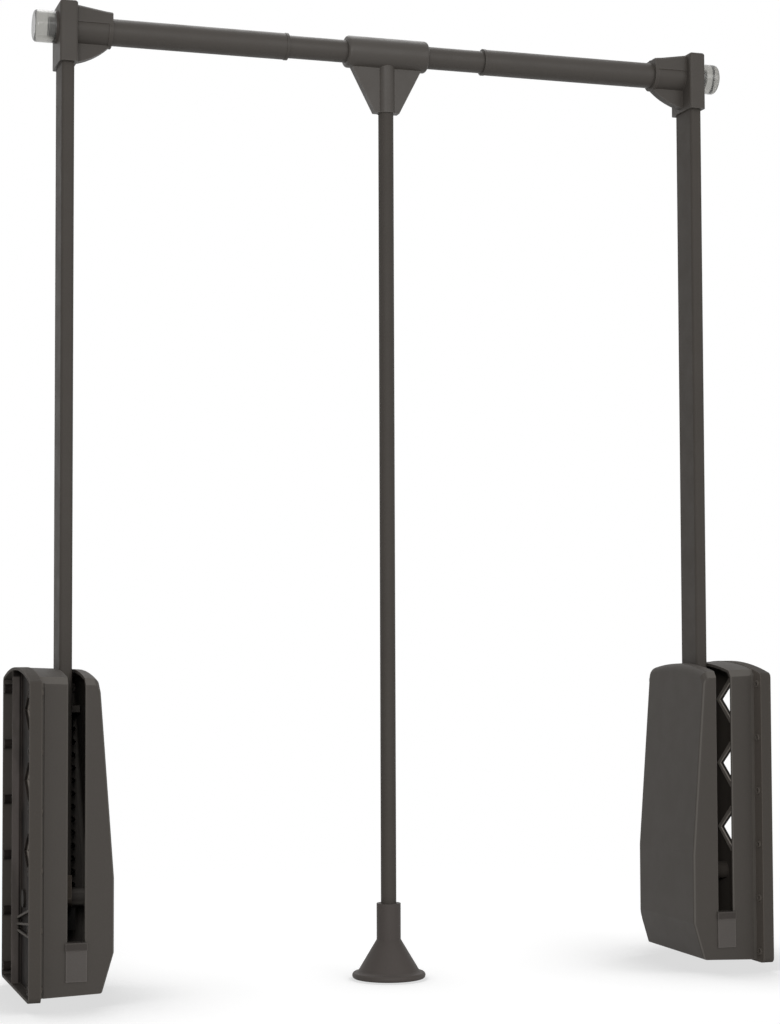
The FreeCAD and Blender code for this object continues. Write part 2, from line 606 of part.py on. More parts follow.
def arm_rest_pad():
    """The pad that the arm lies on when it is down: a plate on the front face and a tongue in the slot."""
    body = new_body("left_arm_rest_pad")
    half = "(slot_width / 2 + 1.5)"
    face = "-cover_front"
    block(body, (f"slot_off - {half}", f"{face} - pad_proud", "pad_low"),
          (f"slot_off + {half}", face, "slot_low - 1"))
    block(body, (f"slot_off - slot_width / 2", f"{face} - pad_proud - 0.8", "slot_low"),
          (f"slot_off + slot_width / 2", f"{face} + pad_tongue", "slot_low + pad_thick"))
    block(body, (f"slot_off - {half} - 0.5", f"{face} - pad_proud - 0.8", "slot_low - 4"),
          (f"slot_off + {half} + 0.5", face, "slot_low + pad_thick"))
    both_sides("arm_rest_pad", body)


# ---- pivot, hub and arm ----------------------------------------------------------------------

def pivot_pin():
    body = new_body("left_pivot_pin")
    rod(body, ALONG_X, ("arm_y", "pivot_z", f"{FLOOR_LOW} - head_thick"), "pin_head", "head_thick")
    rod(body, ALONG_X, ("arm_y", "pivot_z", FLOOR_LOW), "pin_radius", f"pin_reach - {FLOOR_LOW}")
    both_sides("pivot_pin", body)


def pivot_bush():
    body = new_body("left_pivot_bush")
    rod(body, ALONG_X, ("arm_y", "pivot_z", HUB_LOW), "pin_radius + bush_wall", "2 * hub_half")
    rod(body, ALONG_X, ("arm_y", "pivot_z", HUB_LOW), "pin_radius + fit_gap", "2 * hub_half", cut=True)
    both_sides("pivot_bush", body)


def arm_hub():
    body = new_body("left_arm_hub")
    rod(body, ALONG_X, ("arm_y", "pivot_z", HUB_LOW), "hub_radius", "2 * hub_half")
    block(body, ("arm_off - arm_width / 2", "arm_y - arm_depth / 2", "pivot_z"),
          ("arm_off + arm_width / 2", "arm_y + arm_depth / 2", "arm_low"))
    inner = "(arm_wall + slide_gap / 4)"
    block(body, (f"arm_off - arm_width / 2 + {inner}", f"arm_y - arm_depth / 2 + {inner} + 1", "pivot_z"),
          (f"arm_off + arm_width / 2 - {inner}", f"arm_y + arm_depth / 2 - {inner} - 1", "arm_low + plug_length"))
    # the ear from the pivot back and down to the crank pin
    across = "(crank_ear * sin(swing_deg / 2 * 1deg))"
    along = "(crank_ear * cos(swing_deg / 2 * 1deg))"
    corners = [("0", "0", -1), (CRANK_Y, f"-{CRANK_RISE}", -1), (CRANK_Y, f"-{CRANK_RISE}", 1), ("0", "0", 1)]
    points = [(f"arm_y + {y} + {side} * {across}", f"pivot_z + {z} + {side} * {along}") for y, z, side in corners]
    pad(body, outline(body, ALONG_X, points, "arm_off - arm_width / 2"), "arm_width")
    rod(body, ALONG_X, (f"arm_y + {CRANK_Y}", CRANK_Z, "arm_off - arm_width / 2"), "crank_ear", "arm_width")
    rod(body, ALONG_X, ("arm_y", "pivot_z", HUB_LOW), "pin_radius + bush_wall", "2 * hub_half", cut=True)
    rod(body, ALONG_X, (f"arm_y + {CRANK_Y}", CRANK_Z, "0"), "crank_pin_radius", "cover_full", cut=True)
    for number in (0, 1):
        rod(body, ALONG_X, ("arm_y", RIVETS[number], "0"), "rivet_radius", "cover_full", cut=True)
    both_sides("arm_hub", body)


def arm_rivets():
    rivets = []
    for number, height in enumerate(RIVETS):
        body = new_body(f"left_arm_rivet_{number}")
        rod(body, ALONG_X, ("arm_y", height, "arm_off - arm_width / 2"), "rivet_radius", "arm_width")
        rivets.append(body)
    both_sides("arm_rivets", joined("ArmRivets", rivets))


def crank_pin():
    body = new_body("left_crank_pin")
    reach = f"(hub_half + slide_gap + cheek_thick + 0.6)"
    rod(body, ALONG_X, (f"arm_y + {CRANK_Y}", CRANK_Z, f"arm_off - {reach}"), "crank_pin_radius", f"2 * {reach}")
    both_sides("crank_pin", body)


def arm_tube():
    body = new_body("left_arm_tube")
    block(body, ("arm_off - arm_width / 2", "arm_y - arm_depth / 2", "arm_low"),
          ("arm_off + arm_width / 2", "arm_y + arm_depth / 2", ARM_TOP))
    rounded(body, "arm_round", lambda edge, box: runs_along(box, "z"))
    block(body, ("arm_off - arm_width / 2 + arm_wall", "arm_y - arm_depth / 2 + arm_wall", "arm_low"),
          ("arm_off + arm_width / 2 - arm_wall", "arm_y + arm_depth / 2 - arm_wall", ARM_TOP), cut=True)
    for height in RIVETS:
        rod(body, ALONG_X, ("arm_y", height, "0"), "rivet_radius", "cover_full", cut=True)
    rod(body, TO_FRONT, ("arm_off", ARM_SCREW, "-(arm_y + arm_depth)"), "screw_radius", "arm_depth * 0.6", cut=True)
    both_sides("arm_tube", body)


# ---- yoke, springs and damper ----------------------------------------------------------------

def yoke_slider():
    """Two cheeks with level slots for the crank pin, under a cross block that carries the springs."""
    body = new_body("left_yoke_slider")
    rear = f"(arm_y + crank_throw + {YOKE_SLOT} + yoke_wall)"
    front = f"(arm_y + {CRANK_Y} - {YOKE_SLOT} - yoke_wall)"
    low = f"({CRANK_Z} - {YOKE_SLOT} - yoke_web)"
    block_low = f"({YOKE_TOP} - yoke_block)"
    block(body, (YOKE_LEFT, YOKE_FRONT, block_low), (YOKE_RIGHT, YOKE_REAR, YOKE_TOP))
    for start in (f"{HUB_LOW} - slide_gap - cheek_thick", f"{HUB_HIGH} + slide_gap"):
        block(body, (start, front, low), (f"{start} + cheek_thick", rear, YOKE_TOP))
    block(body, (f"base_thick + slide_gap", "spring_y - shoe_half", low), (YOKE_LEFT, "spring_y + shoe_half", YOKE_TOP))
    block(body, ("0", f"arm_y + {CRANK_Y} - {YOKE_SLOT}", f"{CRANK_Z} - {YOKE_SLOT}"),
          ("cover_full", f"arm_y + crank_throw + {YOKE_SLOT}", f"{CRANK_Z} + {YOKE_SLOT}"), cut=True)
    rod(body, ALONG_Z, ("damper_off", "damper_y", f"{YOKE_TOP} - yoke_block / 2"), "damper_rod_radius", "yoke_block", cut=True)
    both_sides("yoke_slider", body)


def springs():
    for name, off in (("wall_side_spring", "spring_outer"), ("cover_side_spring", "spring_inner")):
        body = new_body("left_" + name)
        sketch = circles(body, TO_FRONT, [("spring_radius - wire_radius", "0")], "wire_radius")
        coil = body.newObject("PartDesign::AdditiveHelix", "Coil")
        coil.Profile = sketch
        coil.ReferenceAxis = (sketch, ["V_Axis"])
        coil.Mode = "height-turns-angle"
        bind(coil, "Height", f"abutment_z - {YOKE_TOP} - 2 * wire_radius - 0.4")
        bind(coil, "Turns", "spring_turns")
        bind(body, ".Placement.Base.x", f"-half_width + {off}")
        bind(body, ".Placement.Base.y", "spring_y")
        bind(body, ".Placement.Base.z", f"housing_z + {YOKE_TOP} + wire_radius + 0.2")
        both_sides(name, body)


def spring_abutment():
    body = new_body("left_spring_abutment")
    top = "(abutment_z + abutment_thick)"
    block(body, ("base_thick", YOKE_FRONT, "abutment_z"), (f"{YOKE_RIGHT} + 0.5", YOKE_REAR, top))
    block(body, ("base_thick", YOKE_FRONT, "abutment_z"), ("base_thick + screw_grip / 2", YOKE_REAR, f"{top} + flange_rise"))
    lug_front = f"(arm_y + arm_depth / 2 + slide_gap + stop_thick)"
    block(body, ("arm_off - 7", lug_front, "abutment_z - 8"), ("arm_off + 7", f"{lug_front} + 3", f"{top} + 8"))
    for off in ("spring_outer", "spring_inner"):
        rod(body, ALONG_Z, (off, "spring_y", "abutment_z - stub_length"), "spring_radius - 2 * wire_radius - slide_gap", "stub_length")
    for y, z in ABUTMENT_SCREWS:
        rod(body, ALONG_X, (y, z, "base_thick"), "screw_radius", "screw_grip / 2", cut=True)
    both_sides("spring_abutment", body)


def damper():
    cylinder = new_body("left_damper_cylinder")
    rod(cylinder, ALONG_Z, ("damper_off", "damper_y", "damper_low"), "damper_radius", "abutment_z - damper_low")
    rod(cylinder, ALONG_Z, ("damper_off", "damper_y", "damper_low + damper_gland"), "damper_bore + fit_gap",
        "abutment_z - damper_low - 2 * damper_gland", cut=True)
    rod(cylinder, ALONG_Z, ("damper_off", "damper_y", "damper_low"), "damper_rod_radius + fit_gap", "damper_gland + 1", cut=True)
    both_sides("damper_cylinder", cylinder)
    plunger = new_body("left_damper_rod")
    seat = f"({YOKE_TOP} - yoke_block / 2)"
    rod(plunger, ALONG_Z, ("damper_off", "damper_y", seat), "damper_rod_radius", f"piston_z - {seat}")
    rod(plunger, ALONG_Z, ("damper_off", "damper_y", "piston_z"), "damper_bore", "damper_gland")
    both_sides("damper_rod", plunger)


def arm_stop():
    """Rubber block behind the arm, where it stops when it is up."""
    body = new_body("left_arm_stop")
    front = "(arm_y + arm_depth / 2 + slide_gap)"
    block(body, ("arm_off - 5", front, "abutment_z - 6"), ("arm_off + 5", f"{front} + stop_thick", "abutment_z + abutment_thick + 6"))
    both_sides("arm_stop", body)


def housing_screws():
    screws = []
    for number, (y, z) in enumerate([(y, z) for y, z, reach in POSTS] + ABUTMENT_SCREWS):
        body = new_body(f"left_housing_screw_{number}")
        grip = "screw_grip" if number < len(POSTS) else "screw_grip / 2"
        rod(body, ALONG_X, (y, z, f"{FLOOR_LOW} - head_thick"), "screw_head", "head_thick")
        rod(body, ALONG_X, (y, z, FLOOR_LOW), "screw_radius", f"base_floor + {grip}")
        screws.append(body)
    both_sides("housing_screws", joined("HousingScrews", screws))


# ---- corner bracket, bumper and outer tubes ----------------------------------------------------

def corner_bracket():
    # the thick web above the collar, bevelled along its top
    web = new_body("bracket_web")
    inner = "arm_off"
    face = f"(arm_off + {SOCKET_HALF})"
    points = [(inner, "rail_z + web_low"), ("collar_end", "rail_z + web_low"),
              ("collar_end", "rail_z + collar_radius + web_rise"),
              ("collar_end - web_flat", "rail_z + collar_radius + 3 * web_rise"),
              (face, f"{SOCKET_TOP} - web_step"), (inner, f"{SOCKET_TOP} - web_step")]
    pad(web, outline(web, TO_FRONT, points, "(-arm_y - web_rear)"), "web_front + web_rear")
    lowest = value("rail_z + collar_radius")
    rounded(web, "web_bevel", lambda edge, box: box.YLength < 1e-4 and box.XLength > 4 and box.ZMin > lowest, "Chamfer")
    # the socket round the arm's end
    body = new_body("bracket_body")
    block(body, (f"arm_off - {SOCKET_HALF}", SOCKET_FRONT, SOCKET_LOW), (f"arm_off + {SOCKET_HALF}", SOCKET_REAR, SOCKET_TOP))
    rounded(body, "socket_round", lambda edge, box: runs_along(box, "z"))
    top = value(f"{SOCKET_TOP} - 0.01")
    rounded(body, "socket_crown", lambda edge, box: box.ZMin > top)
    # the thin web below the collar
    points = [(inner, f"{SOCKET_LOW} + gusset_cut"), (face, f"{SOCKET_LOW} + gusset_cut"),
              ("collar_end - 0.5", "rail_z - collar_radius + 1"), ("collar_end - 0.5", "rail_z"), (inner, "rail_z")]
    arcs = {1: ("gusset_radius", "collar_end", SOCKET_LOW)}
    pad(body, outline(body, TO_FRONT, points, "(-arm_y - gusset_half)", arcs), "2 * gusset_half")
    # the collar round the rail's outer tube, with a bead at its end
    rod(body, ALONG_X, ("arm_y", "rail_z", "arm_off"), "collar_radius", "collar_end - arm_off")
    rod(body, ALONG_X, ("arm_y", "rail_z", "collar_end - bead_width"), "collar_radius + bead_rise", "bead_width")
    # the bumper's seat and the boss inside the bumper
    rod(body, ALONG_X, ("arm_y", BUMPER_Z, BUMPER_ROOT), "bumper_seat", "seat_thick + socket_wall / 2")
    rod(body, ALONG_X, ("arm_y", BUMPER_Z, f"{BUMPER_ROOT} - boss_length"), "bumper_boss", "boss_length + 1")
    end = value(f"{BUMPER_ROOT} - boss_length + 0.01")
    rounded(body, "boss_round", lambda edge, box: box.XMax < end)
    whole = combined("Part::Fuse", "BracketForm", body, web)
    # the tube's seat, the socket for the arm and the screws' holes with seats for their heads
    cuts = new_body("bracket_cuts")
    rod(cuts, ALONG_X, ("arm_y", "rail_z", "tube_seat - slide_gap"), "tube_radius", "collar_end")
    block(cuts, ("arm_off - arm_width / 2", "arm_y - arm_depth / 2", SOCKET_LOW),
          ("arm_off + arm_width / 2", "arm_y + arm_depth / 2", ARM_TOP))
    for off, z, face, deep in BRACKET_SCREWS:
        rod(cuts, TO_FRONT, (off, z, f"-{face} - head_thick"), "screw_radius", f"{deep} + head_thick")
        rod(cuts, TO_FRONT, (off, z, f"-{face} - head_thick"), "screw_head", "head_thick + screw_seat")
    both_sides("corner_bracket", combined("Part::Cut", "Bracket", whole, cuts))


def bracket_screws():
    """One screw from the rear into the arm and one into the outer tube."""
    screws = []
    for number, (off, z, face, deep) in enumerate(BRACKET_SCREWS):
        body = new_body(f"left_bracket_screw_{number}")
        rod(body, TO_FRONT, (off, z, f"-{face} + screw_seat - head_thick"), "screw_head", "head_thick")
        rod(body, TO_FRONT, (off, z, f"-{face} + screw_seat"), "screw_radius", f"{deep} - screw_seat")
        screws.append(body)
    both_sides("bracket_screws", joined("BracketScrews", screws))


def bumper():
    body = new_body("left_bumper")
    rod(body, ALONG_X, ("arm_y", BUMPER_Z, "bumper_end"), "bumper_radius", f"{BUMPER_ROOT} - bumper_end")
    end = value("bumper_end + 0.01")
    rounded(body, "bumper_edge", lambda edge, box: box.XMax < end)
    rod(body, ALONG_X, ("arm_y", BUMPER_Z, f"{BUMPER_ROOT} - boss_length"), "bumper_boss", "boss_length + 1", cut=True)
    both_sides("bumper", body)


def outer_tube(side, shift):
    """One outer tube of the rail with the bush in its mouth, further from the wall by shift."""
    seat = f"(tube_seat + {shift})"
    end = f"({seat} + tube_length)"
    tube = new_body(side + "_outer_tube_form")
    rod(tube, ALONG_X, ("arm_y", "rail_z", seat), "tube_radius", "tube_length")
    rod(tube, ALONG_X, ("arm_y", "rail_z", seat), TUBE_BORE, "tube_length", cut=True)
    rod(tube, TO_FRONT, (TUBE_SCREW, "rail_z", "-(arm_y + collar_radius)"), "screw_radius", "collar_radius - 2", cut=True)
    bush = new_body(side + "_tube_bush_form")
    rod(bush, ALONG_X, ("arm_y", "rail_z", end), "mouth_radius", "mouth_flange")
    rod(bush, ALONG_X, ("arm_y", "rail_z", f"{end} - mouth_insert"), TUBE_BORE, "mouth_insert")
    rod(bush, ALONG_X, ("arm_y", "rail_z", f"{end} - mouth_insert - 1"), "inner_radius + fit_gap", "tube_length", cut=True)
    for name, body in (("outer_tube", tube), ("tube_bush", bush)):
        if side == "left":
            keep("left_" + name, body)
        else:
            mirrored("right_" + name, body)


# ---- rail centre, connector, pull rod and handle ------------------------------------------------

CENTRE = ("-rail_shift", "arm_y", "rail_z + housing_z")
FOOT = ("-rail_shift", "arm_y", "0")


def inner_tube():
    body = new_body("inner_tube", CENTRE)
    rod(body, ALONG_X, ("0", "0", "-inner_half"), "inner_radius", "2 * inner_half")
    rod(body, ALONG_X, ("0", "0", "-inner_half"), "inner_radius - inner_wall", "2 * inner_half", cut=True)
    rod(body, TO_FRONT, ("0", "0", "-connector_radius"), "screw_radius", "connector_radius - 2", cut=True)
    keep("inner_tube", body)


def tube_plugs():
    """Plugs that slide in the outer tubes and that the inner tube turns on."""
    for side, start, stub in (("left", "-inner_half - plug_head - 0.4", "-inner_half - 0.4"),
                              ("right", "inner_half + 0.4", "inner_half + 0.4 - plug_stub")):
        body = new_body(side + "_tube_plug", CENTRE)
        rod(body, ALONG_X, ("0", "0", start), f"{TUBE_BORE} - fit_gap", "plug_head")
        rod(body, ALONG_X, ("0", "0", stub), "inner_radius - inner_wall - fit_gap", "plug_stub")
        keep(side + "_tube_plug", body)


def rod_connector():
    body = new_body("rod_connector", CENTRE)
    rod(body, ALONG_X, ("0", "0", "-connector_half"), "connector_radius", "2 * connector_half")
    rounded(body, "connector_round", lambda edge, box: True)
    slope = "(fin_top - fin_foot) / (fin_drop - connector_radius)"
    wide = f"(fin_top + connector_radius / 2 * {slope})"
    points = [("-fin_foot", "-fin_drop"), ("fin_foot", "-fin_drop"), (wide, "-connector_radius / 2"),
              (f"-{wide}", "-connector_radius / 2")]
    pad(body, outline(body, TO_FRONT, points), "2 * fin_half", midplane=True)
    rod(body, ALONG_Z, ("0", "0", "-fin_drop"), "stem_radius", "fin_drop")
    rod(body, ALONG_X, ("0", "0", "-connector_half"), "inner_radius", "2 * connector_half", cut=True)
    rod(body, ALONG_Z, ("0", "0", "-fin_drop"), "rod_radius", "fin_drop - rod_top", cut=True)
    rod(body, TO_FRONT, ("0", "0", "-connector_radius - 1"), "screw_radius", "connector_radius - 2", cut=True)
    rod(body, TO_FRONT, ("0", "0", "-connector_radius - 1"), "screw_head", "1 + screw_seat", cut=True)
    rod(body, TO_FRONT, ("0", "-fin_drop + pin_inset", "-stem_radius - 1"), "small_pin_radius", "stem_radius", cut=True)
    keep("rod_connector", body)


def connector_screw():
    body = new_body("connector_screw", CENTRE)
    seat = "(connector_radius - screw_seat)"
    rod(body, TO_FRONT, ("0", "0", f"-{seat} - head_thick"), "screw_head", "head_thick")
    rod(body, TO_FRONT, ("0", "0", f"-{seat}"), "screw_radius", f"{seat} - inner_radius + inner_wall")
    keep("connector_screw", body)


def pull_rod():
    body = new_body("pull_rod", FOOT)
    top = "(rail_z + housing_z - rod_top)"
    rod(body, ALONG_Z, ("0", "0", "rod_foot"), "rod_radius", f"{top} - rod_foot")
    rod(body, ALONG_Z, ("0", "0", "rod_foot"), "rod_radius - rod_wall", f"{top} - rod_foot", cut=True)
    for z in PIN_HEIGHTS:
        rod(body, TO_FRONT, ("0", z, "-rod_radius - 1"), "small_pin_radius", "rod_radius", cut=True)
    keep("pull_rod", body)


def rod_pins():
    pins = []
    for number, (z, skin) in enumerate(zip(PIN_HEIGHTS, ("stem_radius", "handle_collar"))):
        body = new_body(f"rod_pin_{number}", FOOT)
        rod(body, TO_FRONT, ("0", z, f"-{skin} + 0.3"), "small_pin_radius", f"{skin} - 0.3 - rod_radius + rod_wall")
        pins.append(body)
    keep("rod_pins", joined("RodPins", pins))


def pull_handle():
    body = new_body("pull_handle", FOOT)
    lip_in = "(lip_radius - lip_edge + sqrt(lip_edge^2 - lip_thick^2 / 4))"
    inside = "(handle_collar - handle_wall / 2)"
    points = [("0", "rod_foot"), ("rod_radius", "rod_foot"), ("rod_radius", "handle_top"), ("handle_collar", "handle_top"),
              ("handle_collar", "handle_neck"), ("cone_foot", "flare_z"), (lip_in, "lip_thick"), (lip_in, "0"),
              ("cap_radius", "0"), ("cap_radius", "cap_thick + 0.4"), ("cap_radius - 1.2", "cap_thick + 0.4"),
              (inside, "rod_foot - handle_wall"), ("0", "rod_foot - handle_wall")]
    arcs = {5: ("flare_radius", "cone_foot", "lip_thick"), 6: ("lip_edge", "lip_radius", "lip_thick / 2")}
    sketch = outline(body, TO_FRONT, points, "0", arcs)
    turned(body, sketch)
    rod(body, TO_FRONT, ("0", PIN_HEIGHTS[1], "-handle_collar - 1"), "small_pin_radius", "handle_collar", cut=True)
    keep("pull_handle", body)


def handle_cap():
    body = new_body("handle_cap", FOOT)
    rod(body, ALONG_Z, ("0", "0", "0.4"), "cap_radius", "cap_thick")
    keep("handle_cap", body)


# ---- build and write --------------------------------------------------------------------------

wall_base()
cover()
arm_rest_pad()
pivot_pin()
pivot_bush()
arm_hub()
arm_rivets()
crank_pin()
arm_tube()
yoke_slider()
springs()
spring_abutment()
damper()
arm_stop()
housing_screws()
corner_bracket()
bracket_screws()
bumper()
outer_tube("left", "0")
outer_tube("right", "2 * rail_shift")
inner_tube()
tube_plugs()
rod_connector()
connector_screw()
pull_rod()
rod_pins()
pull_handle()
handle_cap()
doc.recompute()

failed = []
for item in doc.Objects:
    if "Invalid" in item.State or "Error" in item.State:
        home = item.getParentGeoFeatureGroup()
        failed.append(f"{item.Name} in {home.Label if home else 'the document'}")
if failed:
    raise RuntimeError("failed features: " + ", ".join(failed))
for label, piece in nodes.items():
    if piece.Shape.isNull() or not piece.Shape.isValid() or not piece.Shape.Solids:
        raise RuntimeError("bad shape: " + label)
os.makedirs("parts", exist_ok=True)
for label, piece in nodes.items():
    piece.Shape.exportStep(f"parts/{label}.step")
print(len(nodes), "nodes written")
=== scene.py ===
import math

import bmesh
import bpy
from mathutils import Matrix, Vector


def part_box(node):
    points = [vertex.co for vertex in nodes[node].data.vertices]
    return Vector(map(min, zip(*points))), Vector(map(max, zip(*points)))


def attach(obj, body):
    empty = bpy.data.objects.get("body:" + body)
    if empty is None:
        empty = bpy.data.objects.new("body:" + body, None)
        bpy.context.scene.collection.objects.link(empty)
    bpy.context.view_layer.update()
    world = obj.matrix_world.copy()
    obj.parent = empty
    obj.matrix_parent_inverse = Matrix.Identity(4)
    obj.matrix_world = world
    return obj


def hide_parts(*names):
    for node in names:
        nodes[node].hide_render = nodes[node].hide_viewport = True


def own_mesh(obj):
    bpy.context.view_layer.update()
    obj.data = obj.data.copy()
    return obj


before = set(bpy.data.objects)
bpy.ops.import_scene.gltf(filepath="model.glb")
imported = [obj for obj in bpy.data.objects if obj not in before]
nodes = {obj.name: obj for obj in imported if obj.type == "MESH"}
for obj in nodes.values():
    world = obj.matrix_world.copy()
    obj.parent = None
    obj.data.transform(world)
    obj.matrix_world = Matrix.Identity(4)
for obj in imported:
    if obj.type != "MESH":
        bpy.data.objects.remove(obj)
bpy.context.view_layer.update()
scene = bpy.context.scene
SIDES = ("left", "right")
WHITE = (1, 1, 1, 1)

# ---- camera, floor and light -------------------------------------------------------------------

# The camera as fitted to the photograph. Places and lengths are in metres, the lens in millimetres.
YAW, PITCH, ROLL = (math.radians(a) for a in (17.94, 2.99, -0.21))
CAMERA_PLACE = (-0.6212, -1.9127, 0.31685)
LENS, SENSOR = 77.256, 36
CLIP_START, CLIP_END = 0.05, 60

AMBIENT = 0.52  # the world's light on the object

FLOOR_REACH = 1.2  # to each side and to the back
FLOOR_FRONT = -0.33
FLOOR_Z = -0.0012
FRONT_STRETCH = 2.9  # depth in front of the middle counts this many times towards the fade
FADE = (0.55, 0.95)  # distance from the middle over which the floor turns white
PAPER = 0.85  # the floor's grey for the light that it throws back on the object
GREY, GLOW = 0.60, 0.55  # what the camera sees: grey that takes shadows, and light added to it
SHADE = 0.70  # the floor's light right beside the object
SHADE_DISTANCE = 0.16
SHADE_OPEN = (0.55, 1.0)  # how open the floor's surroundings are, from shade to full light


def add_camera():
    ahead = Vector((math.sin(YAW) * math.cos(PITCH), math.cos(YAW) * math.cos(PITCH),
                    math.sin(PITCH)))
    right = Vector((math.cos(YAW), -math.sin(YAW), 0))
    up = right.cross(ahead)
    across = right * math.cos(ROLL) + up * math.sin(ROLL)
    above = up * math.cos(ROLL) - right * math.sin(ROLL)
    data = bpy.data.cameras.new("camera")
    data.lens = LENS
    data.sensor_width = SENSOR
    data.clip_start = CLIP_START
    data.clip_end = CLIP_END
    camera = bpy.data.objects.new("camera", data)
    camera.matrix_world = Matrix.Translation(CAMERA_PLACE) @ Matrix(
        (across, above, -ahead)).transposed().to_4x4()
    scene.collection.objects.link(camera)
    scene.camera = camera


class Nodes:
    """A node tree with short calls for the few kinds of node that the materials use."""

    def __init__(self, tree):
        self.tree = tree
        tree.nodes.clear()

    def plug(self, socket, value):
        if hasattr(value, "is_output"):
            self.tree.links.new(value, socket)
        else:
            socket.default_value = value

    def new(self, kind, inputs=None, **settings):
        node = self.tree.nodes.new(kind)
        for key, value in settings.items():
            setattr(node, key, value)
        for key, value in (inputs or {}).items():
            self.plug(node.inputs[key], value)
        return node

    def math(self, operation, a, b=0.0):
        return self.new("ShaderNodeMath", {0: a, 1: b}, operation=operation).outputs[0]

    def times(self, product, *others):
        for other in others:
            product = self.math("MULTIPLY", product, other)
        return product

    def length(self, a, b):
        return self.math("SQRT", self.math("ADD", self.times(a, a), self.times(b, b)))

    def noise(self, scale, detail=2.0, stretch=None):
        spot = self.new("ShaderNodeTexCoord").outputs["Object"]
        if stretch:
            spot = self.new("ShaderNodeMapping", {"Vector": spot, "Scale": stretch}).outputs[0]
        return self.new("ShaderNodeTexNoise",
                        {"Vector": spot, "Scale": scale, "Detail": detail}).outputs[0]

    def ramp(self, value, low, high, to_low=0.0, to_high=1.0, smooth=True):
        return self.new("ShaderNodeMapRange", {"Value": value, "From Min": low, "From Max": high,
                                               "To Min": to_low, "To Max": to_high},
                        interpolation_type="SMOOTHSTEP" if smooth else "LINEAR").outputs[0]

    def below(self, value, low, high):
        """1 up to low, 0 from high on."""
        return self.ramp(value, low, high, 1.0, 0.0)

    def within(self, value, low, high, soft):
        """1 between low and high, 0 outside, with edges this soft."""
        return self.times(self.ramp(value, low - soft, low + soft),
                          self.below(value, high - soft, high + soft))

    def place(self):
        spot = self.new("ShaderNodeTexCoord").outputs["Object"]
        return self.new("ShaderNodeSeparateXYZ", {0: spot}).outputs

    def blend(self, amount, a, b):
        mix = self.new("ShaderNodeMix", data_type="RGBA")
        for socket, value in ((mix.inputs[0], amount), (mix.inputs[6], a), (mix.inputs[7], b)):
            self.plug(socket, value)
        return mix.outputs[2]

    def diffuse(self, grey):
        return self.new("ShaderNodeBsdfDiffuse", {"Color": (grey, grey, grey, 1)}).outputs[0]

    def emission(self, strength):
        return self.new("ShaderNodeEmission", {"Color": WHITE, "Strength": strength}).outputs[0]

    def mix_shader(self, amount, a, b):
        return self.new("ShaderNodeMixShader", {0: amount, 1: a, 2: b}).outputs[0]


def seen(tree):
    """1 for rays that look at the surroundings: from the camera, in gloss, through clear pieces."""
    path = tree.new("ShaderNodeLightPath").outputs
    straight = tree.math("MAXIMUM", path["Is Camera Ray"], path["Is Glossy Ray"])
    return tree.math("MAXIMUM", straight, path["Is Transmission Ray"])


def add_world():
    world = bpy.data.worlds.new("studio")
    scene.world = world
    world.use_nodes = True
    tree = Nodes(world.node_tree)
    strength = tree.ramp(seen(tree), 0.0, 1.0, AMBIENT, 1.0, smooth=False)
    back = tree.new("ShaderNodeBackground", {"Color": WHITE, "Strength": strength})
    tree.new("ShaderNodeOutputWorld", {"Surface": back.outputs[0]})


def add_floor():
    """The floor ends in front of the housings, so that the lowered rail, which hangs below them,
    is seen."""
    mesh = bpy.data.meshes.new("floor")
    mesh.from_pydata([(-FLOOR_REACH, FLOOR_FRONT, FLOOR_Z), (FLOOR_REACH, FLOOR_FRONT, FLOOR_Z),
                      (FLOOR_REACH, FLOOR_REACH, FLOOR_Z), (-FLOOR_REACH, FLOOR_REACH, FLOOR_Z)],
                     [], [(0, 1, 2, 3)])
    floor = bpy.data.objects.new("floor", mesh)
    scene.collection.objects.link(floor)
    made = bpy.data.materials.new("floor")
    made.use_nodes = True
    tree = Nodes(made.node_tree)
    x, y, _ = tree.place()
    ahead = tree.math("MAXIMUM", tree.times(y, -FRONT_STRETCH), y)
    away = tree.ramp(tree.length(x, ahead), *FADE)
    paper = tree.diffuse(PAPER)
    lit = tree.new("ShaderNodeAddShader",
                   {0: tree.diffuse(GREY), 1: tree.emission(GLOW)}).outputs[0]
    open_sky = tree.new("ShaderNodeAmbientOcclusion", {"Distance": SHADE_DISTANCE},
                        samples=8).outputs["AO"]
    near = tree.mix_shader(tree.ramp(open_sky, *SHADE_OPEN), tree.emission(SHADE), lit)
    shown = tree.mix_shader(away, near, tree.emission(1.0))
    both = tree.mix_shader(seen(tree), paper, shown)
    tree.new("ShaderNodeOutputMaterial", {"Surface": both})
    floor.data.materials.append(made)


def add_lamp(name, place, aim, size, power):
    data = bpy.data.lights.new(name, "AREA")
    data.shape = "DISK"
    data.size = size
    data.energy = power
    lamp = bpy.data.objects.new(name, data)
    lamp.location = place
    lamp.rotation_euler = (Vector(aim) - Vector(place)).to_track_quat("-Z", "Y").to_euler()
    # Rays that pass through the clear bumpers don't meet the lamps.
    lamp.visible_transmission = False
    scene.collection.objects.link(lamp)


add_camera()
scene.view_settings.view_transform = "Standard"
add_world()
add_floor()
add_lamp("key_lamp", (-0.95, -2.6, 0.9), aim=(0, 0, 0.3), size=0.8, power=24)
add_lamp("fill_lamp", (0.9, -2.5, 1.3), aim=(0, 0, 0.42), size=1.8, power=14)
add_lamp("top_lamp", (0.1, 0.75, 2.1), aim=(0, 0, 0.3), size=1.3, power=10)


# ---- materials ---------------------------------------------------------------------------------

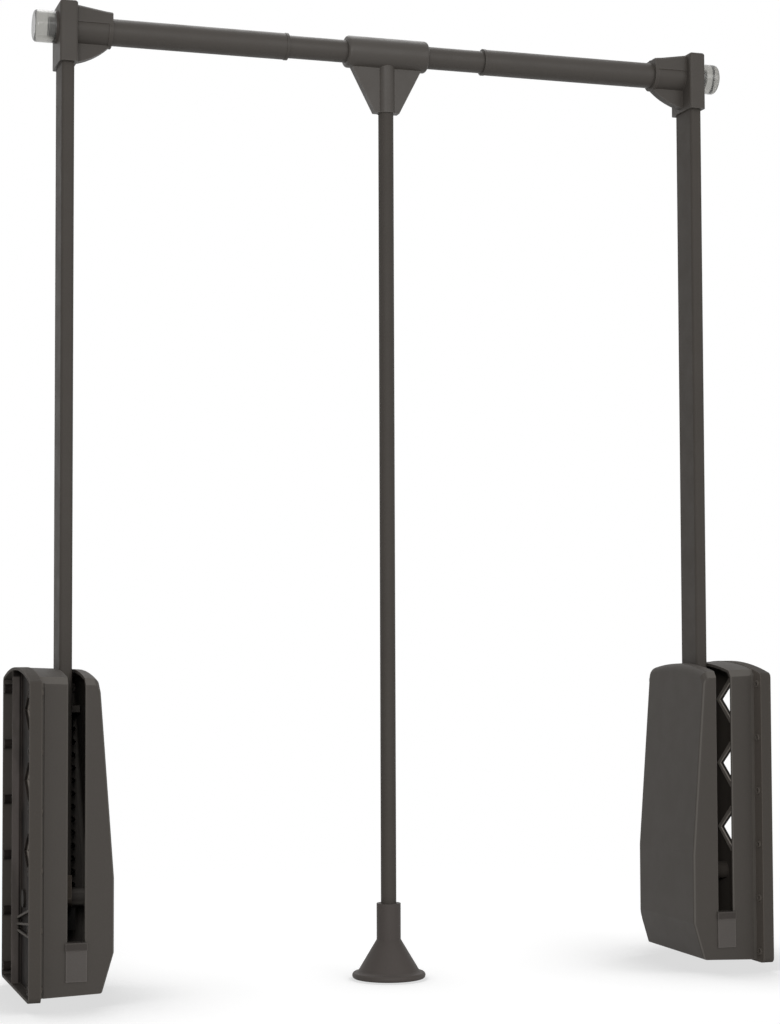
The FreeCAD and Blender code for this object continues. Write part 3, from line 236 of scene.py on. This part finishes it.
# A range gives the two values between which a share runs from 0 to 1.
CLOUD_RANGE = (0.3, 0.7)  # of the noise behind the tone's clouds and the roughness
GLOSS_FINER = 6  # how many times finer the roughness varies than the clouds
GRAIN_RANGE, GRAIN_SHARE, GRAIN_LIGHT = (0.45, 0.7), 0.25, 1.3
GRAIN_DEPTH = 0.00002
# How many times lighter the painted highlight along a piece's edges is.
EDGE_HIGHLIGHT_LIGHT = 2.2
EDGE_RADIUS = 0.002  # how far from a piece's edges the painted edge highlight reaches
EDGE_RANGE = (0.99, 0.86)  # of the dot product of the rounded and the flat normal

# Where the housings' pieces change their colour, with painted shade and highlights among it, in
# metres: off is the distance from the wall, y the depth and z the height. within() fades by SHARP
# or SOFT either side of a range's ends; ramp() and below() fade over the whole range.
HALF_WIDTH = 0.3425  # from the middle to either wall
SHARP, SOFT = 0.0001, 0.001
# Where the cover gets painted highlights: its rounded edges, and the front strip by the wall base.
BEND_RANGE = (0.34, 0.48)  # of the product of two parts of the normal, on rounded edges
BEND_SHARE = 0.16
STRIP_OFF = (0.0132, 0.0138)
STRIP_FACING = (-0.9, -0.7)  # the normal's y: the strip is on faces that look to the front
# The hollow towards the wall, which is painted in shade:
HOLLOW_OFF = (0.0098, 0.0102)
HOLLOW_HALF_DEPTH = 0.0765
HOLLOW_Z = (0.0090, 0.0092)
HOLLOW_ARCH = (0.2874, 0.2876)  # distance from the arched top's centre
ARCH_Z = -0.0069  # height of that centre
PATCH_RANGE = (0.35, 0.65)  # of the noise that makes the hollow patchy
# Painted lighter, as lit: the upright rib, the small ribs' edges, the face and the window lips.
RIB_OFF, RIB_Y, RIB_TOP = (0.0052, 0.0066), (0.0185, 0.0199), (0.2735, 0.2755)
FAN_OFF, FAN_Y, FAN_Z = (0.0046, 0.0056), (-0.060, 0.017), (0.048, 0.086)
FACE_OFF, FACE_SHARE = (0.0101, 0.0103), 0.7
LIP_OFF, LIP_Y, LIP_Z = (0.0106, 0.0112), (-0.060, 0.020), (0.098, 0.272)
LEDGE_Z = (0.0465, 0.0472)


def rgb(red, green, blue):
    """A colour written as it looks on a screen, 0 to 255."""
    def linear(c):
        c /= 255
        return c / 12.92 if c <= 0.04045 else ((c + 0.055) / 1.055) ** 2.4
    return (linear(red), linear(green), linear(blue), 1.0)


def scaled(colour, by):
    return tuple(min(1.0, c * by) for c in colour[:3]) + (1.0,)


def material(name, colour, rough, spec=0.2, metal=0.0, mottle=0.03, cloud_scale=9.0,
             grain=1400.0, spread=0.04, edge_highlight=0.0, tone=None, through=0.0):
    """A moulded or coated surface: soft colour variation, fine grain in the colour and the bump,
    and a roughness that varies by spread. A share for the edges paints a highlight along them,
    tone changes its colour from place to place, and through lets light pass."""
    made = bpy.data.materials.new(name)
    made.use_nodes = True
    tree = Nodes(made.node_tree)
    cloud = tree.noise(cloud_scale)
    fine = tree.noise(grain)
    base = tree.blend(tree.ramp(cloud, *CLOUD_RANGE), scaled(colour, 1 - mottle),
                      scaled(colour, 1 + mottle))
    base = tree.blend(tree.ramp(fine, *GRAIN_RANGE, 0.0, GRAIN_SHARE), base,
                      scaled(colour, GRAIN_LIGHT))
    if tone:
        base = tone(tree, base)
    # A painted highlight along the piece's edges.
    if edge_highlight:
        base = tree.blend(tree.times(edges(tree), edge_highlight), base, scaled(colour, EDGE_HIGHLIGHT_LIGHT))
    gloss = tree.noise(cloud_scale * GLOSS_FINER, detail=3.0)
    roughness = tree.ramp(gloss, *CLOUD_RANGE, rough - spread, rough + spread)
    bump = tree.new("ShaderNodeBump", {"Height": fine, "Distance": GRAIN_DEPTH, "Strength": 1.0})
    shader = tree.new("ShaderNodeBsdfPrincipled", {
        "Base Color": base, "Roughness": roughness, "Metallic": metal, "Specular IOR Level": spec,
        "Transmission Weight": through, "Normal": bump.outputs[0]})
    tree.new("ShaderNodeOutputMaterial", {"Surface": shader.outputs[0]})
    return made


def edges(tree):
    """1 along the edges of a piece, where the painted edge highlight goes."""
    round_edge = tree.new("ShaderNodeBevel", {"Radius": EDGE_RADIUS}, samples=6).outputs[0]
    flat = tree.new("ShaderNodeNewGeometry").outputs["Normal"]
    same = tree.new("ShaderNodeVectorMath", {0: round_edge, 1: flat},
                    operation="DOT_PRODUCT").outputs["Value"]
    return tree.ramp(same, *EDGE_RANGE)


def from_wall(tree, x):
    return tree.math("SUBTRACT", HALF_WIDTH, tree.math("ABSOLUTE", x))


def cover_highlights(tree, base):
    """Painted highlights on the cover's rounded front edges and on the strip next to the wall base.
    """
    flat = tree.new("ShaderNodeNewGeometry").outputs["Normal"]
    normal = tree.new("ShaderNodeSeparateXYZ", {0: flat}).outputs
    corner = tree.math("ABSOLUTE", tree.times(normal[0], normal[1]))
    brow = tree.math("ABSOLUTE", tree.times(normal[1], normal[2]))
    edge = tree.ramp(tree.math("MAXIMUM", corner, brow), *BEND_RANGE, 0.0, BEND_SHARE)
    # Painted highlight on the rounded edges.
    base = tree.blend(edge, base, rgb(150, 146, 140))
    # Painted highlight on the front strip next to the wall base.
    off = from_wall(tree, tree.place()[0])
    strip = tree.times(tree.below(off, *STRIP_OFF), tree.below(normal[1], *STRIP_FACING))
    return tree.blend(strip, base, rgb(82, 78, 73))


def wall_side(tree, base):
    """The wall base's hollow towards the wall, in painted shade, with its upright rib and the
    edges of the small ribs painted lighter as lit; on the other side its face, painted lighter as
    light inside the housing, and a painted highlight on the lips round the windows."""
    x, y, z = tree.place()
    off = from_wall(tree, x)
    reach = tree.length(y, tree.math("SUBTRACT", z, ARCH_Z))
    # Painted shade over the hollow, patchy.
    inside = tree.times(tree.within(y, -HOLLOW_HALF_DEPTH, HOLLOW_HALF_DEPTH, SHARP),
                        tree.below(reach, *HOLLOW_ARCH), tree.ramp(z, *HOLLOW_Z),
                        tree.below(off, *HOLLOW_OFF))
    patchy = tree.ramp(tree.noise(scale=70.0, detail=4.0, stretch=(1, 1, 0.4)), *PATCH_RANGE)
    hollow_shade = tree.blend(patchy, rgb(18, 15, 13), rgb(38, 33, 30))
    # The upright rib painted lighter than the painted shade, as lit.
    rib = tree.times(tree.within(y, *RIB_Y, SHARP), tree.below(off, *RIB_OFF),
                     tree.below(z, *RIB_TOP))
    hollow_shade = tree.blend(rib, hollow_shade, tree.blend(patchy, rgb(76, 71, 68), rgb(90, 84, 81)))
    # The small ribs' edges painted lighter, as lit.
    fan = tree.times(tree.within(z, *FAN_Z, SOFT), tree.within(y, *FAN_Y, SOFT),
                     tree.below(off, *FAN_OFF))
    hollow_shade = tree.blend(fan, hollow_shade, rgb(74, 70, 66))
    # The face towards the cover painted lighter, as light inside the housing.
    face = tree.times(tree.ramp(off, *FACE_OFF), FACE_SHARE)
    base = tree.blend(face, base, rgb(88, 82, 76))
    # Painted highlight on the lips round the windows.
    lip = tree.times(tree.ramp(off, *LIP_OFF), tree.within(y, *LIP_Y, SOFT),
                     tree.within(z, *LIP_Z, SOFT))
    base = tree.blend(lip, base, rgb(160, 153, 145))
    return tree.blend(inside, base, hollow_shade)


def pad_tone(tree, base):
    """The pad's ledge is a little darker than its plate."""
    z = tree.place()[2]
    return tree.blend(tree.ramp(z, *LEDGE_Z), base, rgb(60, 56, 53))


def dress(node, made):
    mesh = nodes[node].data
    mesh.materials.clear()
    mesh.materials.append(made)


# The edge share that some of these materials get paints a highlight along their edges.
housing = material("housing_plastic", rgb(66, 62, 58), 0.6, mottle=0.008, spread=0.02, edge_highlight=0.3,
                   tone=cover_highlights)
base_plastic = material("wall_base_plastic", rgb(68, 64, 60), 0.7, spec=0.08, mottle=0.008,
                        spread=0.02, edge_highlight=0.35, tone=wall_side)
pad = material("pad_rubber", rgb(81, 77, 74), 0.7, spec=0.15, edge_highlight=0.3, tone=pad_tone)
steel = material("bright_steel", rgb(120, 118, 114), 0.3, metal=1.0)
spring = material("spring_steel", rgb(50, 48, 46), 0.4, metal=1.0)
zinc = material("zinc_steel", rgb(58, 55, 52), 0.45, metal=1.0, mottle=0.08, cloud_scale=60)
screw = material("screw_steel", rgb(96, 94, 90), 0.35, metal=1.0)
nylon = material("slide_nylon", rgb(20, 18, 15), 0.5, edge_highlight=0.6)
black_steel = material("black_steel", rgb(34, 31, 28), 0.6, spec=0.1)
hub_steel = material("hub_steel", rgb(72, 66, 60), 0.42, metal=1.0, mottle=0.08, cloud_scale=60,
                     edge_highlight=0.5)
stop = material("stop_rubber", rgb(30, 28, 26), 0.8, spec=0.1)
arm_coat = material("arm_coat", rgb(68, 64, 60), 0.6, spec=0.12, grain=900)
tube_coat = material("tube_coat", rgb(67, 63, 59), 0.5, spec=0.26, grain=900)
moulded = material("bracket_plastic", rgb(68, 64, 60), 0.5, spec=0.2, edge_highlight=0.3)
connector = material("connector_plastic", rgb(70, 66, 62), 0.45, spec=0.28, edge_highlight=0.3)
clear = material("bumper_clear", rgb(164, 163, 158), 0.14, spec=0.5, spread=0.02, through=0.85)
grip = material("handle_plastic", rgb(71, 66, 63), 0.55, spec=0.15)

# Nodes that come in a left and a right one stand here without their side.
FINISH = {
    "wall_base": base_plastic, "cover": housing, "arm_rest_pad": pad, "pivot_pin": black_steel,
    "spring_abutment": zinc, "wall_side_spring": spring, "cover_side_spring": spring,
    "damper_cylinder": zinc, "arm_stop": stop, "housing_screws": screw,
    "arm_hub": hub_steel, "pivot_bush": nylon, "crank_pin": steel, "arm_tube": arm_coat,
    "arm_rivets": screw, "corner_bracket": moulded, "bracket_screws": screw, "bumper": clear,
    "outer_tube": tube_coat, "tube_bush": tube_coat, "yoke_slider": nylon, "damper_rod": steel,
    "tube_plug": nylon, "inner_tube": tube_coat, "rod_connector": connector,
    "connector_screw": screw, "pull_rod": arm_coat, "rod_pins": screw, "pull_handle": grip,
    "handle_cap": grip,
}

for node in nodes:
    side, _, rest = node.partition("_")
    dress(node, FINISH[rest if side in SIDES else node])

# ---- springs: coils in place of the spring parts -----------------------------------------------

WIRE = 0.0011  # radius
TURNS = 15
CLOSE = 2.15 * WIRE  # rise of the first and of the last turn, which lie close
PER_TURN, AROUND = 28, 12  # rings in a turn and points in a ring
STEP = 0.01  # turns, each way, over which the wire's slope is taken


def coil_rise(turn, height):
    """Height of the wire's middle after this many turns."""
    middle = (height - 2 * CLOSE) / (TURNS - 2)
    return (min(turn, 1) * CLOSE + min(max(turn - 1, 0), TURNS - 2) * middle
            + max(turn - TURNS + 1, 0) * CLOSE)


def coil_mesh(name, low, high, hand):
    """A wire coiled within the box from low to high; hand is 1 or -1, the way it winds."""
    foot = Vector(((low[0] + high[0]) / 2, (low[1] + high[1]) / 2, low[2] + WIRE))
    radius = (high[0] - low[0]) / 2 - WIRE
    height = high[2] - low[2] - 2 * WIRE
    mesh = bmesh.new()
    rings = []
    for step in range(TURNS * PER_TURN + 1):
        turn = step / PER_TURN
        angle = hand * math.tau * turn
        out = Vector((math.cos(angle), math.sin(angle), 0))
        climb = (coil_rise(turn + STEP, height) - coil_rise(turn - STEP, height)) / (2 * STEP)
        along = Vector((-out.y * hand, out.x * hand, climb / (math.tau * radius))).normalized()
        over = along.cross(out)
        middle = foot + out * radius + Vector((0, 0, coil_rise(turn, height)))
        rings.append([mesh.verts.new(middle + WIRE * (out * math.cos(a) + over * math.sin(a)))
                      for a in (math.tau * k / AROUND for k in range(AROUND))])
    for ring, after in zip(rings, rings[1:]):
        for k in range(AROUND):
            n = (k + 1) % AROUND
            mesh.faces.new((ring[k], ring[n], after[n], after[k])).smooth = True
    mesh.faces.new(rings[0])
    mesh.faces.new(rings[-1])
    bmesh.ops.recalc_face_normals(mesh, faces=mesh.faces)
    data = bpy.data.meshes.new(name)
    mesh.to_mesh(data)
    mesh.free()
    return data


for side in SIDES:
    hand = 1 if side == "left" else -1
    for place in ("wall_side", "cover_side"):
        node = f"{side}_{place}_spring"
        low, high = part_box(node)
        coil = bpy.data.objects.new(f"{side}_{place}_coil", coil_mesh(node, low, high, hand))
        scene.collection.objects.link(coil)
        coil.data.materials.append(spring)
        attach(coil, f"{side}_housing")
        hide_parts(node)
        # The yoke's top lies 0.0002 under the spring.
        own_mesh(coil)
